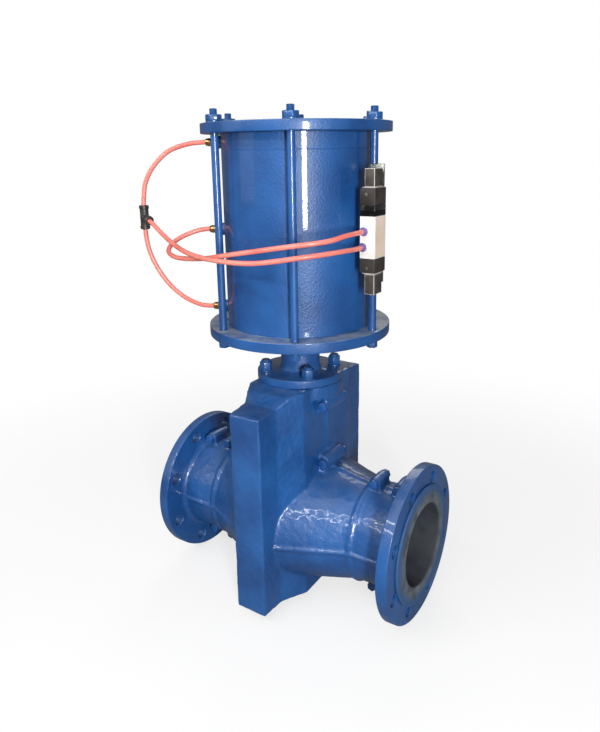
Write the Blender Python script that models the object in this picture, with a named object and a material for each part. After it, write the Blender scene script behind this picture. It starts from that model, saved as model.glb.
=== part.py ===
# Air-operated pinch valve: two body halves clamped round a rubber sleeve, a pair of pinch bars
# above and below the sleeve, and a two-piston air cylinder on a bonnet that closes both bars at once.
# +X is the pipe axis, +Z is up, and the origin is where the pipe axis crosses the stem axis.

import math

import bmesh
import bpy
from mathutils import Vector

MM = 0.001

# Pipe ends and sleeve.
FACE_X = 250.0
FLANGE_T = 20.0
FLANGE_R = 142.5
FLANGE_PCD_R = 120.0
FLANGE_HOLE_R = 11.0
STUB_R = 92.0
SEAM_R = 96.0
SLEEVE_IN_R = 74.0
SLEEVE_OUT_R = 82.0
SLEEVE_LIP_R = 108.5
BODY_BORE_R = 82.3

# Chest of the body, as a plan outline (half width in X at each distance in Y) and heights.
CHEST_PLAN = [(31.0, 177.0), (33.0, 130.0), (45.5, 105.0), (58.0, 80.0)]
CHEST_TOPS = [252.0, 257.0, 271.0, 275.0]
CHEST_BASE = -125.0
WALL = 11.0
CONE_CHEST_END = (34.0, 145.0, 113.0)
PARTING_GAP = 0.3
PIPE_LUG_X = (-213.0, -167.0, 167.0, 213.0)
PIPE_LUG_Z = 104.0
CHEST_LUG_X = 70.0
CHEST_LUG_Z = (124.0, 237.0)
LUG_HOLE_R = 5.4

# Bonnet, cylinder and tie rods.
BONNET_R = 80.0
BONNET_BOLTS = [(46.0, 46.0), (-46.0, 46.0), (-46.0, -46.0), (46.0, -46.0)]
NECK_R = 36.0
PLATE_R = 163.2
BOTTOM_PLATE = (365.0, 383.0)
TOP_PLATE = (711.0, 727.5)
BARREL_R = (125.0, 129.6)
ROD_CIRCLE_R = 148.4
ROD_R = 6.5
NUT_R = 13.5
PORT_ANGLE = math.radians(300)
PORT_Z = (698.0, 549.0, 409.0)

# Moving pieces. TRAVEL is how far each pinch bar goes to shut the sleeve.
TRAVEL = 74.0
PISTON_R = 124.2
PISTON_T = 32.0
LOWER_PISTON_Z = 421.0
UPPER_PISTON_Z = 655.0
INNER_STEM_R = 9.0
OUTER_STEM_R = 16.0
PULL_ROD_Y = 146.0

# Hoses.
HOSE_R = 4.0
TEE = Vector((-237.0, -137.0, 571.0))
TEE_BRANCH = Vector((0.90, -0.33, -0.28)).normalized()
UP = Vector((0.0, 0.0, 1.0))

HEX_FLAT = math.cos(math.radians(30))
PORT_DIR = Vector((math.sin(PORT_ANGLE), -math.cos(PORT_ANGLE), 0.0))


def linear(code):
    parts = [int(code[i : i + 2], 16) / 255 for i in (0, 2, 4)]
    return [c / 12.92 if c <= 0.04045 else ((c + 0.055) / 1.055) ** 2.4 for c in parts]


def material(name, code, roughness, metallic=0.0):
    made = bpy.data.materials.new(name)
    made.use_nodes = True
    shader = made.node_tree.nodes["Principled BSDF"]
    shader.inputs["Base Color"].default_value = (*linear(code), 1.0)
    shader.inputs["Roughness"].default_value = roughness
    shader.inputs["Metallic"].default_value = metallic
    return made


def loft(bm, rings, loop=False):
    rows = [[bm.verts.new(Vector(p) * MM) for p in ring] for ring in rings]
    n = len(rows[0])
    pairs = list(zip(rows, rows[1:]))
    if loop:
        pairs.append((rows[-1], rows[0]))
    for low, high in pairs:
        for k in range(n):
            bm.faces.new((low[k], low[(k + 1) % n], high[(k + 1) % n], high[k]))
    if not loop:
        bm.faces.new(rows[0])
        bm.faces.new(list(reversed(rows[-1])))


def circle(radius, at, axis, n, phase=0.0):
    turn = Vector((0, 0, 1)).rotation_difference(Vector(axis).normalized())
    ring = []
    for k in range(n):
        a = 2 * math.pi * k / n + phase
        ring.append(turn @ Vector((radius * math.cos(a), radius * math.sin(a), 0)) + Vector(at))
    return ring


def add_rod(bm, start, end, radius, n=24, phase=0.0):
    axis = Vector(end) - Vector(start)
    loft(bm, [circle(radius, start, axis, n, phase), circle(radius, end, axis, n, phase)])


def add_stepped(bm, start, axis, steps, n=24, phase=0.0):
    # steps: (distance along the axis, radius)
    way = Vector(axis).normalized()
    loft(bm, [circle(r, Vector(start) + way * d, axis, n, phase) for d, r in steps])


def add_box(bm, low, high):
    (x0, y0, z0), (x1, y1, z1) = low, high
    base = [(x0, y0), (x1, y0), (x1, y1), (x0, y1)]
    loft(bm, [[(x, y, z0) for x, y in base], [(x, y, z1) for x, y in base]])


def add_lathe(bm, profile, n=36, centre=(0.0, 0.0)):
    # profile: a closed outline of (radius, z) that stays off the axis
    rings = []
    for r, z in profile:
        rings.append([(centre[0] + r * math.cos(2 * math.pi * k / n),
                       centre[1] + r * math.sin(2 * math.pi * k / n), z) for k in range(n)])
    loft(bm, rings, loop=True)


def node(name, fill, finish, smooth=True):
    bm = bmesh.new()
    fill(bm)
    bmesh.ops.recalc_face_normals(bm, faces=bm.faces[:])
    mesh = bpy.data.meshes.new(name)
    bm.to_mesh(mesh)
    bm.free()
    made = bpy.data.objects.new(name, mesh)
    bpy.context.scene.collection.objects.link(made)
    if finish:
        mesh.materials.append(finish)
    if smooth:
        mesh.shade_smooth()
        mesh.set_sharp_from_angle(angle=math.radians(35))
    return made


def cutter(name, fill):
    made = node(name, fill, None, smooth=False)
    made.hide_render = True
    made.display_type = "WIRE"
    return made


def combine(target, tool, operation):
    step = target.modifiers.new(operation.lower(), "BOOLEAN")
    step.operation = operation
    step.solver = "EXACT"
    step.object = tool


# ---- body ----

def chest_plan(inset):
    half = [(x - inset, y - inset if y > 150 else y) for x, y in CHEST_PLAN]
    # walk round once: near end, +X side, far end, -X side
    right = [(x, -y) for x, y in half] + [(x, y) for x, y in reversed(half)]
    left = [(-x, y) for x, y in half] + [(-x, -y) for x, y in reversed(half)]
    return right + left


def chest(bm, inset, base, drop):
    plan = chest_plan(inset)
    tops = [top - drop for top in CHEST_TOPS]
    heights = tops + tops[::-1] + tops + tops[::-1]
    low = [bm.verts.new(Vector((x, y, base)) * MM) for x, y in plan]
    high = [bm.verts.new(Vector((x, y, z)) * MM) for (x, y), z in zip(plan, heights)]
    n = len(plan)
    for k in range(n):
        bm.faces.new((low[k], low[(k + 1) % n], high[(k + 1) % n], high[k]))
    for row in (low, high):
        for k in range(n // 2 - 1):
            bm.faces.new((row[k], row[k + 1], row[n - 2 - k], row[n - 1 - k]))


def oval(x, ry, rz, n=36):
    angles = [2 * math.pi * k / n for k in range(n)]
    return [(x, ry * math.cos(a), rz * math.sin(a)) for a in angles]


def loft_both_ways(bm, half):
    # half: (distance from the middle, radius in Y, radius in Z), from one pipe end inwards
    rings = [oval(-x, ry, rz) for x, ry, rz in half]
    rings += [oval(x, ry, rz) for x, ry, rz in reversed(half)]
    loft(bm, rings)


def pipe_outside(bm):
    inner = FACE_X - FLANGE_T
    half = [(FACE_X, FLANGE_R, FLANGE_R), (inner, FLANGE_R, FLANGE_R), (inner, STUB_R, STUB_R),
            (158.0, STUB_R, STUB_R), (157.0, SEAM_R, SEAM_R), (151.0, SEAM_R, SEAM_R),
            (150.0, 93.0, 92.4), CONE_CHEST_END]
    loft_both_ways(bm, half)


def pipe_inside(bm):
    x, ry, rz = CONE_CHEST_END
    bore = BODY_BORE_R
    loft_both_ways(bm, [(FACE_X + 5, bore, bore), (150.0, bore, bore), (x, ry - WALL, rz - WALL)])


def lugs(bm):
    for x in PIPE_LUG_X:
        add_box(bm, (x - 12, -20, 86), (x + 12, 20, 114))
        add_box(bm, (x - 12, -20, -114), (x + 12, 20, -86))
    for side in (-1, 1):
        for z in CHEST_LUG_Z:
            xs = sorted((side * 52.0, side * 79.0))
            add_box(bm, (xs[0], -32, z - 17), (xs[1], 32, z + 17))


def top_pad(bm):
    add_rod(bm, (0, 0, 262), (0, 0, 275), BONNET_R, 36)


def body_holes(bm):
    for side in (-1, 1):
        for k in range(8):
            a = math.radians(22.5 + 45 * k)
            y, z = FLANGE_PCD_R * math.cos(a), FLANGE_PCD_R * math.sin(a)
            back, front = side * (FACE_X - FLANGE_T - 2), side * (FACE_X + 3)
            add_rod(bm, (back, y, z), (front, y, z), FLANGE_HOLE_R, 10)
        for z in CHEST_LUG_Z:
            add_rod(bm, (side * CHEST_LUG_X, -40, z), (side * CHEST_LUG_X, 40, z), LUG_HOLE_R, 10)
    for x in PIPE_LUG_X:
        for z in (PIPE_LUG_Z, -PIPE_LUG_Z):
            add_rod(bm, (x, -30, z), (x, 30, z), LUG_HOLE_R, 10)
    for x, y in BONNET_BOLTS:
        add_rod(bm, (x, y, 255), (x, y, 280), 5.0, 12)
    add_rod(bm, (0, 0, 240), (0, 0, 285), 24.0, 32)


def body_half(name, side, enamel):
    made = node(name, lambda bm: chest(bm, 0.0, CHEST_BASE, 0.0), enamel)
    combine(made, cutter(name + "_pipe", pipe_outside), "UNION")
    combine(made, cutter(name + "_lugs", lugs), "UNION")
    combine(made, cutter(name + "_pad", top_pad), "UNION")
    hollow = cutter(name + "_hollow", lambda bm: chest(bm, WALL, CHEST_BASE + WALL, WALL))
    combine(made, hollow, "DIFFERENCE")
    combine(made, cutter(name + "_bore", pipe_inside), "DIFFERENCE")
    combine(made, cutter(name + "_holes", body_holes), "DIFFERENCE")
    near_y, far_y = sorted((side * PARTING_GAP / 2, -side * 260.0))
    other = cutter(name + "_other", lambda bm: add_box(bm, (-300, near_y, -300), (300, far_y, 400)))
    combine(made, other, "DIFFERENCE")


def rubber_sleeve(rubber):
    lip = FACE_X + 0.3
    end = FACE_X + 5.0
    half = [(end, SLEEVE_IN_R), (end, SLEEVE_LIP_R), (lip, SLEEVE_LIP_R), (lip, SLEEVE_OUT_R)]
    outline = [(-x, r) for x, r in half] + [(x, r) for x, r in reversed(half)]
    node("rubber_sleeve", lambda bm: loft(bm, [oval(x, r, r) for x, r in outline], loop=True), rubber)


def body_bolts(steel):
    count = 0
    places = [(x, PIPE_LUG_Z, 20.0) for x in PIPE_LUG_X]
    places += [(side * CHEST_LUG_X, z, 32.0) for side in (-1, 1) for z in CHEST_LUG_Z]
    for x, z, reach in places:
        count += 1
        steps = [(0, 9.2), (8, 9.2), (8, 5.0), (8 + 2 * reach, 5.0)]
        start = (x, -reach - 8.3, z)
        node("body_bolt_%d" % count, lambda bm: add_stepped(bm, start, (0, 1, 0), steps, 12), steel)


def bonnet(enamel, packing, bronze, steel):
    outline = [(17.0, 275.3), (BONNET_R, 275.3), (BONNET_R, 290.0), (NECK_R, 290.0), (NECK_R, 352.0),
               (55.0, 352.0), (55.0, 364.7), (24.0, 364.7), (24.0, 295.0), (17.0, 295.0)]
    made = node("bonnet", lambda bm: add_lathe(bm, outline), enamel)

    def holes(bm):
        for x, y in BONNET_BOLTS:
            add_rod(bm, (x, y, 270), (x, y, 295), 5.0, 12)

    combine(made, cutter("bonnet_holes", holes), "DIFFERENCE")
    ring = [(16.3, 295.3), (23.7, 295.3), (23.7, 339.0), (16.3, 339.0)]
    node("stem_packing", lambda bm: add_lathe(bm, ring, 24), packing)
    bush = [(16.5, 339.3), (23.7, 339.3), (23.7, 364.5), (16.5, 364.5)]
    node("gland_bush", lambda bm: add_lathe(bm, bush, 24), bronze)
    steps = [(0, 4.6), (24, 4.6), (24, 12.0), (45.0, 12.0)]
    for k, (x, y) in enumerate(BONNET_BOLTS):
        start = (x, y, 266.3)
        node("bonnet_bolt_%d" % (k + 1), lambda bm: add_stepped(bm, start, (0, 0, 1), steps, 12), steel)


# ---- cylinder ----

def rod_places():
    angles = [math.radians(30 + 60 * k) for k in range(6)]
    return [(ROD_CIRCLE_R * math.sin(a), -ROD_CIRCLE_R * math.cos(a)) for a in angles]


def rod_holes(bm, low, high):
    for x, y in rod_places():
        add_rod(bm, (x, y, low), (x, y, high), ROD_R + 0.5, 12)


def end_plates(enamel):
    low, high = BOTTOM_PLATE
    outline = [(17.0, low), (PLATE_R, low), (PLATE_R, high), (40.0, high), (40.0, 420.0), (17.0, 420.0)]
    made = node("cylinder_bottom_plate", lambda bm: add_lathe(bm, outline, 48), enamel)
    combine(made, cutter("bottom_plate_holes", lambda bm: rod_holes(bm, low - 4, high + 4)), "DIFFERENCE")
    under, over = TOP_PLATE
    # the boss under the top plate is the upper piston's stop
    steps = [(0, 40.0), (under - 688.0, 40.0), (under - 688.0, PLATE_R), (over - 688.0, PLATE_R)]
    made = node("cylinder_top_plate", lambda bm: add_stepped(bm, (0, 0, 688.0), (0, 0, 1), steps, 48), enamel)
    combine(made, cutter("top_plate_holes", lambda bm: rod_holes(bm, under - 4, over + 4)), "DIFFERENCE")


def barrel(enamel):
    inner, outer = BARREL_R
    low, high = BOTTOM_PLATE[1] + 0.3, TOP_PLATE[0] - 0.3
    outline = [(inner, low), (outer, low), (outer, high), (inner, high)]
    made = node("cylinder_barrel", lambda bm: add_lathe(bm, outline, 48), enamel)

    def bosses(bm):
        for z in PORT_Z:
            at = Vector((0, 0, z))
            add_rod(bm, at + PORT_DIR * 126.5, at + PORT_DIR * 136.0, 11.0, 16)

    def holes(bm):
        for z in PORT_Z:
            at = Vector((0, 0, z))
            add_rod(bm, at + PORT_DIR * 110, at + PORT_DIR * 145, 5.0, 10)

    combine(made, cutter("port_bosses", bosses), "UNION")
    combine(made, cutter("port_holes", holes), "DIFFERENCE")


def add_nut(bm, x, y, low):
    # the hexagon has a point at each corner and at the middle of each flat, to match the round hole
    angles = [math.pi * j / 6 for j in range(12)]
    hexagon = [NUT_R * (HEX_FLAT if j % 2 else 1.0) for j in range(12)]
    hole = [ROD_R + 0.3] * 12
    rows = []
    for radii, z in ((hexagon, low), (hexagon, low + 12), (hole, low + 12), (hole, low)):
        rows.append([(x + r * math.cos(a), y + r * math.sin(a), z) for r, a in zip(radii, angles)])
    loft(bm, rows, loop=True)


def tie_rods(enamel):
    head = [(0, 9.5), (13.0, 9.5), (13.0, ROD_R), (397.0, ROD_R)]
    for k, (x, y) in enumerate(rod_places()):
        node("tie_rod_%d" % (k + 1), lambda bm: add_stepped(bm, (x, y, 351.7), (0, 0, 1), head, 12), enamel)
        node("tie_rod_nut_%d" % (k + 1), lambda bm: add_nut(bm, x, y, TOP_PLATE[1] + 0.3), enamel)


# ---- moving pieces ----

def piston(name, low, hole, alloy, seal):
    high = low + PISTON_T
    mid = (low + high) / 2
    outside = [(PISTON_R, low), (PISTON_R, mid - 6), (116.0, mid - 6), (116.0, mid + 6), (PISTON_R, mid + 6),
               (PISTON_R, high)]
    if hole:
        node(name, lambda bm: add_lathe(bm, [(hole, low)] + outside + [(hole, high)]), alloy)
    else:
        node(name, lambda bm: add_stepped(bm, (0, 0, 0), (0, 0, 1), [(z, r) for r, z in outside], 36), alloy)
    ring = [(116.3, mid - 5.7), (124.4, mid - 5.7), (124.4, mid + 5.7), (116.3, mid + 5.7)]
    node(name + "_seal", lambda bm: add_lathe(bm, ring), seal)


def bar(bm, reach, nose, back):
    # nose: the face towards the sleeve; back: the face away from it
    lean = 7.5 if back > nose else -7.5
    outline = [(-18, back), (18, back), (18, nose + lean), (10, nose), (-10, nose), (-18, nose + lean)]
    loft(bm, [[(x, -reach, z) for x, z in outline], [(x, reach, z) for x, z in outline]])


def pull_rod_holes(bm, low, high):
    for y in (-PULL_ROD_Y, PULL_ROD_Y):
        add_rod(bm, (0, y, low), (0, y, high), 8.3, 12)


def pinch_gear(iron, steel, alloy, seal):
    gap = SLEEVE_OUT_R + 0.5
    node("upper_pinch_bar", lambda bm: bar(bm, 128.0, gap, gap + 25.5), iron)
    made = node("lower_pinch_bar", lambda bm: bar(bm, 158.0, -gap, -gap - 25.5), iron)
    combine(made, cutter("lower_bar_holes", lambda bm: pull_rod_holes(bm, -120, -70)), "DIFFERENCE")
    made = node("crosshead", lambda bm: add_box(bm, (-16, -158, 124), (16, 158, 150)), iron)

    def holes(bm):
        pull_rod_holes(bm, 110, 160)
        add_rod(bm, (0, 0, 110), (0, 0, 160), INNER_STEM_R + 0.5, 16)

    combine(made, cutter("crosshead_holes", holes), "DIFFERENCE")
    for name, y in (("near", -PULL_ROD_Y), ("far", PULL_ROD_Y)):
        node("pull_rod_" + name, lambda bm: add_rod(bm, (0, y, -111), (0, y, 158), 8.0, 12), steel)
    tube = [(INNER_STEM_R + 0.5, 150.3), (OUTER_STEM_R, 150.3), (OUTER_STEM_R, LOWER_PISTON_Z - 0.3),
            (INNER_STEM_R + 0.5, LOWER_PISTON_Z - 0.3)]
    node("outer_stem", lambda bm: add_lathe(bm, tube, 24), steel)
    low, high = (0, 0, gap + 25.8), (0, 0, UPPER_PISTON_Z - 0.3)
    node("inner_stem", lambda bm: add_rod(bm, low, high, INNER_STEM_R, 16), steel)
    piston("lower_piston", LOWER_PISTON_Z, INNER_STEM_R + 0.5, alloy, seal)
    piston("upper_piston", UPPER_PISTON_Z, 0.0, alloy, seal)


# ---- solenoid valve, fittings and hoses ----

PORT_X = (157.0, 155.0)
PORT_HEIGHT = (556.0, 531.0)
VALVE_FRONT = -50.0


def solenoid_valve(white, black, coil, steel, collar):
    node("valve_body", lambda bm: add_box(bm, (149.5, VALVE_FRONT, 513), (176, -11, 580)), white, False)
    node("upper_adapter", lambda bm: add_box(bm, (149.5, VALVE_FRONT, 580.3), (176, -11, 624)), black, False)
    node("lower_adapter", lambda bm: add_box(bm, (149.5, VALVE_FRONT, 490), (176, -11, 512.7)), black, False)
    node("upper_coil", lambda bm: add_box(bm, (157.5, VALVE_FRONT, 624.3), (175, -22, 654)), coil, False)
    node("lower_coil", lambda bm: add_box(bm, (158.5, VALVE_FRONT, 455), (176, -22, 489.7)), coil, False)
    made = node("valve_bracket", lambda bm: add_box(bm, (149, -10.7, 470), (172, -8.2, 660)), steel, False)

    def clamps(bm):
        for low in (470.0, 646.0):
            ring = [(ROD_R + 0.3, low), (10.2, low), (10.2, low + 14), (ROD_R + 0.3, low + 14)]
            add_lathe(bm, ring, 16, (ROD_CIRCLE_R, 0.0))

    combine(made, cutter("bracket_clamps", clamps), "UNION")
    for name, x, z in (("upper", PORT_X[0], PORT_HEIGHT[0]), ("lower", PORT_X[1], PORT_HEIGHT[1])):

        def ring(bm):
            hole = HOSE_R + 0.4
            profile = ((hole, -50.3), (7.0, -50.3), (7.0, -53.0), (5.8, -56.5), (hole, -56.5))
            loft(bm, [circle(r, (x, y, z), (0, -1, 0), 14) for r, y in profile], loop=True)

        node("port_collar_" + name, ring, collar)


def port_fittings(brass):
    for name, z in zip(("top", "middle", "bottom"), PORT_Z):
        at = Vector((0, 0, z))

        def body(bm):
            profile = ((136.3, 8.5), (147.0, 8.5), (148.0, 6.8), (157.0, 6.8), (157.0, 4.4), (145.0, 4.4),
                       (145.0, 3.0), (136.3, 3.0))
            loft(bm, [circle(r, at + PORT_DIR * d, PORT_DIR, 14) for d, r in profile], loop=True)

        node("port_fitting_" + name, body, brass)


def tee(black):
    made = node("hose_tee", lambda bm: add_rod(bm, TEE - UP * 21, TEE + UP * 21, 9.0, 16), black)
    combine(made, cutter("tee_arm", lambda bm: add_rod(bm, TEE, TEE + TEE_BRANCH * 24, 8.4, 16)), "UNION")

    def sockets(bm):
        add_rod(bm, TEE + UP * 9, TEE + UP * 25, 4.4, 12)
        add_rod(bm, TEE - UP * 9, TEE - UP * 25, 4.4, 12)
        add_rod(bm, TEE + TEE_BRANCH * 12, TEE + TEE_BRANCH * 30, 4.4, 12)

    combine(made, cutter("tee_sockets", sockets), "DIFFERENCE")


def port_line(distance, z):
    return PORT_DIR * distance + Vector((0, 0, z))


HOSES = {
    "hose_middle": [(157, -50.6, 556), (157, -75, 556), (154, -105, 555), (146, -134, 551),
                    (128, -155, 548), (105, -170, 545), (78, -182, 541), (48, -190, 536),
                    (18, -194, 531), (-15, -194, 525), (-50, -186, 518), (-84, -176, 513),
                    (-116, -169, 510), (-145, -163, 510), (-169, -152, 515), (-178, -137, 524),
                    (-174, -118, 535), (-158, -97, 545), (-143, -83, 549), port_line(145.5, 549)],
    "hose_branch": [(155, -50.6, 531), (155, -76, 531), (153, -106, 532), (146, -136, 532),
                    (130, -158, 530), (108, -175, 527), (82, -189, 523), (50, -199, 519),
                    (15, -204, 518), (-25, -203, 519), (-62, -198, 521), (-100, -186, 525),
                    (-142, -168, 533), (-178, -156, 547), TEE + TEE_BRANCH * 36,
                    TEE + TEE_BRANCH * 12.5],
    "hose_top": [TEE + UP * 9.5, TEE + UP * 24, port_line(272.5, 606), port_line(268, 630),
                 port_line(253, 657), port_line(225, 683), port_line(191, 695), port_line(165, 698),
                 port_line(145.5, 698)],
    "hose_bottom": [TEE - UP * 9.5, TEE - UP * 24, port_line(273, 533), port_line(269, 510),
                    port_line(258, 482), port_line(239, 452), port_line(213, 427), port_line(184, 412),
                    port_line(165, 409), port_line(145.5, 409)],
}


def smooth_route(points, spacing):
    # a Catmull-Rom curve through the points, resampled at even steps
    p = [Vector(q) for q in points]
    p = [p[0] * 2 - p[1]] + p + [p[-1] * 2 - p[-2]]
    fine = []
    for a, b, c, d in zip(p, p[1:], p[2:], p[3:]):
        for k in range(16):
            t = k / 16
            fine.append(0.5 * (2 * b + (c - a) * t + (2 * a - 5 * b + 4 * c - d) * t * t
                               + (3 * b - a - 3 * c + d) * t ** 3))
    fine.append(p[-2])
    total = sum((b - a).length for a, b in zip(fine, fine[1:]))
    count = round(total / spacing)
    out, walked, k = [fine[0]], 0.0, 0
    for step in range(1, count):
        target = total * step / count
        while walked + (fine[k + 1] - fine[k]).length < target:
            walked += (fine[k + 1] - fine[k]).length
            k += 1
        share = (target - walked) / (fine[k + 1] - fine[k]).length
        out.append(fine[k].lerp(fine[k + 1], share))
    return out + [fine[-1]]


def hose(name, points, finish):
    route = smooth_route(points, 20.0)
    curve = bpy.data.curves.new(name, "CURVE")
    curve.dimensions = "3D"
    curve.bevel_depth = HOSE_R * MM
    curve.bevel_resolution = 2
    curve.use_fill_caps = True
    line = curve.splines.new("POLY")
    line.points.add(len(route) - 1)
    for point, place in zip(line.points, route):
        point.co = (*(place * MM), 1.0)
    curve.materials.append(finish)
    made = bpy.data.objects.new(name, curve)
    bpy.context.scene.collection.objects.link(made)


def build():
    for old in list(bpy.data.objects):
        bpy.data.objects.remove(old, do_unlink=True)
    enamel = material("blue_enamel", "2C62A4", 0.28)
    bolts = material("painted_bolt", "28578F", 0.4)
    rubber = material("sleeve_rubber", "3E444C", 0.75)
    black_rubber = material("seal_rubber", "1B1B1C", 0.6)
    iron = material("pinch_iron", "5B5E61", 0.55, 1.0)
    steel = material("stem_steel", "B9BCC0", 0.25, 1.0)
    alloy = material("piston_alloy", "A9ADB1", 0.4, 1.0)
    bronze = material("gland_bronze", "A27B45", 0.4, 1.0)
    white = material("valve_white", "E6E1DC", 0.4)
    black = material("adapter_black", "35302E", 0.4)
    coil = material("coil_black", "3A3532", 0.5)
    zinc = material("bracket_zinc", "8E8F8D", 0.4, 1.0)
    purple = material("collar_purple", "5F5596", 0.4)
    brass = material("fitting_brass", "B08D57", 0.35, 1.0)
    red = material("hose_red", "EB7A70", 0.35)
    body_half("body_half_near", -1, enamel)
    body_half("body_half_far", 1, enamel)
    rubber_sleeve(rubber)
    body_bolts(bolts)
    bonnet(enamel, black_rubber, bronze, bolts)
    end_plates(enamel)
    barrel(enamel)
    tie_rods(enamel)
    pinch_gear(iron, steel, alloy, black_rubber)
    solenoid_valve(white, black, coil, zinc, purple)
    port_fittings(brass)
    tee(black)
    for name, points in HOSES.items():
        hose(name, points, red)


build()
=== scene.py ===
# Air-operated pinch valve: two enamelled body castings round a rubber sleeve, a bonnet, a two-piston
# air cylinder on tie rods, and a solenoid valve with red air hoses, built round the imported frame.
import math

import bmesh
import bpy
from mathutils import Matrix, Vector, noise


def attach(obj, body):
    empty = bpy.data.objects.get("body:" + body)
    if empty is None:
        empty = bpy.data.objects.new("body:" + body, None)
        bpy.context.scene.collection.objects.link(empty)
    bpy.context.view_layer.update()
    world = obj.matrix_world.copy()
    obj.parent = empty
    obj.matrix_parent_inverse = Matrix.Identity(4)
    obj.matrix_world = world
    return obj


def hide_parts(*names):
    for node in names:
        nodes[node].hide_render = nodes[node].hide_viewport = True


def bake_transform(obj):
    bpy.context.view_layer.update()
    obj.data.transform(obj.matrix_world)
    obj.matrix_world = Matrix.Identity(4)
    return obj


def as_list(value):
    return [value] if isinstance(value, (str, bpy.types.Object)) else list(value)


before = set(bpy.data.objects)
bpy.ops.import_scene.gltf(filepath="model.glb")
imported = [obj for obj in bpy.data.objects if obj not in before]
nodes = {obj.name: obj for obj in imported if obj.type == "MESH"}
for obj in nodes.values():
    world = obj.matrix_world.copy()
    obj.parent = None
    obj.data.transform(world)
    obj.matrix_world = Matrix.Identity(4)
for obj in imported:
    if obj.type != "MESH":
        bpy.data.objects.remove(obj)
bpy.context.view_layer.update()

mm = 0.001
xAxis, yAxis, zAxis = Vector((1, 0, 0)), Vector((0, 1, 0)), Vector((0, 0, 1))


# camera

camera = {"azimuth": 32.79, "pitch": 14.74, "roll": -0.86, "lens": 32.37,
          "shiftX": -0.0071, "shiftY": -0.0573, "place": (0.6425, -0.9791, 0.6811)}


def makeCamera():
    a, e, r = (math.radians(camera[k]) for k in ("azimuth", "pitch", "roll"))
    back = Vector((math.sin(a) * math.cos(e), -math.cos(a) * math.cos(e), math.sin(e)))
    side = Vector((math.cos(a), math.sin(a), 0))
    up = back.cross(side)
    right = side * math.cos(r) + up * math.sin(r)
    above = up * math.cos(r) - side * math.sin(r)
    data = bpy.data.cameras.new("camera")
    data.lens = camera["lens"]
    data.sensor_width = 36
    data.sensor_fit = "AUTO"
    data.shift_x = camera["shiftX"]
    data.shift_y = camera["shiftY"]
    data.clip_start = 0.02
    made = bpy.data.objects.new("camera", data)
    made.matrix_world = Matrix((right, above, back)).transposed().to_4x4()
    made.location = camera["place"]
    bpy.context.scene.collection.objects.link(made)
    bpy.context.scene.camera = made


makeCamera()
print("camera placed")


# shared tools for materials

def linear(code):
    # sRGB hex to a linear colour
    parts = [int(code[i:i + 2], 16) / 255 for i in (0, 2, 4)]
    return (*[c / 12.92 if c <= 0.04045 else ((c + 0.055) / 1.055) ** 2.4 for c in parts], 1.0)


def addNode(tree, kind, settings=None, links=None):
    # a key that isn't one of the node's own properties is an input, by name or by number
    made = tree.nodes.new("ShaderNode" + kind)
    for key, value in (settings or {}).items():
        if isinstance(key, str) and hasattr(made, key):
            setattr(made, key, value)
        else:
            made.inputs[key].default_value = value
    for key, source in (links or {}).items():
        tree.links.new(source, made.inputs[key])
    return made


def newFinish(name, settings):
    # a material with its shader's plain values set on the shader's own sockets
    made = bpy.data.materials.new(name)
    made.use_nodes = True
    tree = made.node_tree
    shader = tree.nodes["Principled BSDF"]
    for key, value in settings.items():
        shader.inputs[key].default_value = value
    place = addNode(tree, "TexCoord").outputs["Object"]
    return made, tree, shader, place


def grain(tree, place, sizeMm, detail=2.0, stretch=None):
    # noise whose blobs are about sizeMm across
    if stretch:
        place = addNode(tree, "Mapping", {3: stretch}, {0: place}).outputs[0]
    settings = {"Scale": 1000 / sizeMm, "Detail": detail}
    return addNode(tree, "TexNoise", settings, {"Vector": place}).outputs[0]


def spread(tree, value, low, high, toLow=0.0, toHigh=1.0):
    return addNode(tree, "MapRange", {1: low, 2: high, 3: toLow, 4: toHigh}, {0: value}).outputs[0]


def times(tree, a, b):
    return addNode(tree, "Math", {"operation": "MULTIPLY"}, {0: a, 1: b}).outputs[0]


def blendColour(tree, share, a, b, mode="MIX"):
    # a and b are hex codes or sockets
    made = addNode(tree, "Mix", {"data_type": "RGBA", "blend_type": mode}, {0: share})
    for key, colour in ((6, a), (7, b)):
        if isinstance(colour, str):
            made.inputs[key].default_value = linear(colour)
        else:
            tree.links.new(colour, made.inputs[key])
    return made.outputs[2]


def bumps(tree, shader, layers):
    # layers: (height socket, millimetres of relief)
    normal = None
    for height, depth in layers:
        links = {"Height": height}
        if normal:
            links["Normal"] = normal
        normal = addNode(tree, "Bump", {"Distance": depth * mm, "Strength": 1.0}, links).outputs[0]
    tree.links.new(normal, shader.inputs["Normal"])


def facingUp(tree):
    normal = addNode(tree, "NewGeometry").outputs["Normal"]
    return addNode(tree, "SeparateXYZ", {}, {0: normal}).outputs[2]


# hoses, first, because they set how far the object spreads

hoseLook = {"radius": 4.0, "step": 7.0, "tee": (-237.0, -137.0, 571.0), "branch": (0.90, -0.33, -0.28),
            "portAngle": 300.0, "portHeights": (698.0, 549.0, 409.0)}
teePlace = Vector(hoseLook["tee"])
teeBranch = Vector(hoseLook["branch"]).normalized()
portWay = Vector((math.sin(math.radians(hoseLook["portAngle"])),
                  -math.cos(math.radians(hoseLook["portAngle"])), 0))


def portLine(distance, z):
    return portWay * distance + Vector((0, 0, z))


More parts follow.
